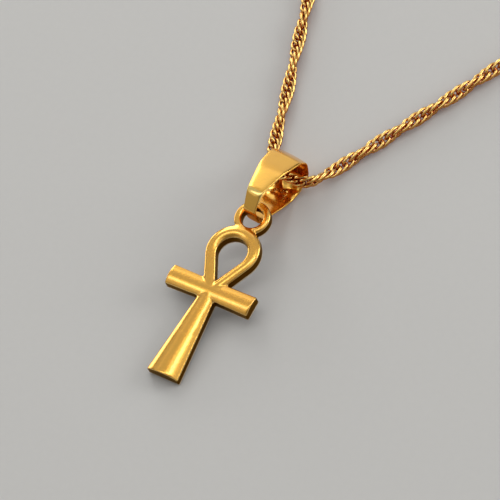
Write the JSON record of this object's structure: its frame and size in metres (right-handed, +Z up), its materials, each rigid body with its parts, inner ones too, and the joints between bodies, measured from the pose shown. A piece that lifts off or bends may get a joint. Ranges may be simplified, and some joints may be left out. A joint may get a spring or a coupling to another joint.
{
  "type": "ankh pendant necklace",
  "caption": "Looped cross pendant with a flared stem, hung by its eye from a folded tapered bail on a twisted curb chain that closes with a barrel clasp.",
  "frame": {"origin": "on the surface that the necklace lies on, under the flat of the bail's back", "axes": "+Y from the pendant along the loop of chain to its clasp, +Z up from the surface"},
  "size_m": [0.1096, 0.2228, 0.0099],
  "materials": {
    "cast_gold": "polished gold plate",
    "bail_gold": "mirror polished gold plate",
    "chain_gold": "polished gold plate",
    "clasp_gold": "polished gold plate"
  },
  "bodies": {
    "root": {"ankh": "cast_gold", "bail": "bail_gold", "chain": "chain_gold", "clasp": "clasp_gold"}
  },
  "joints": []
}
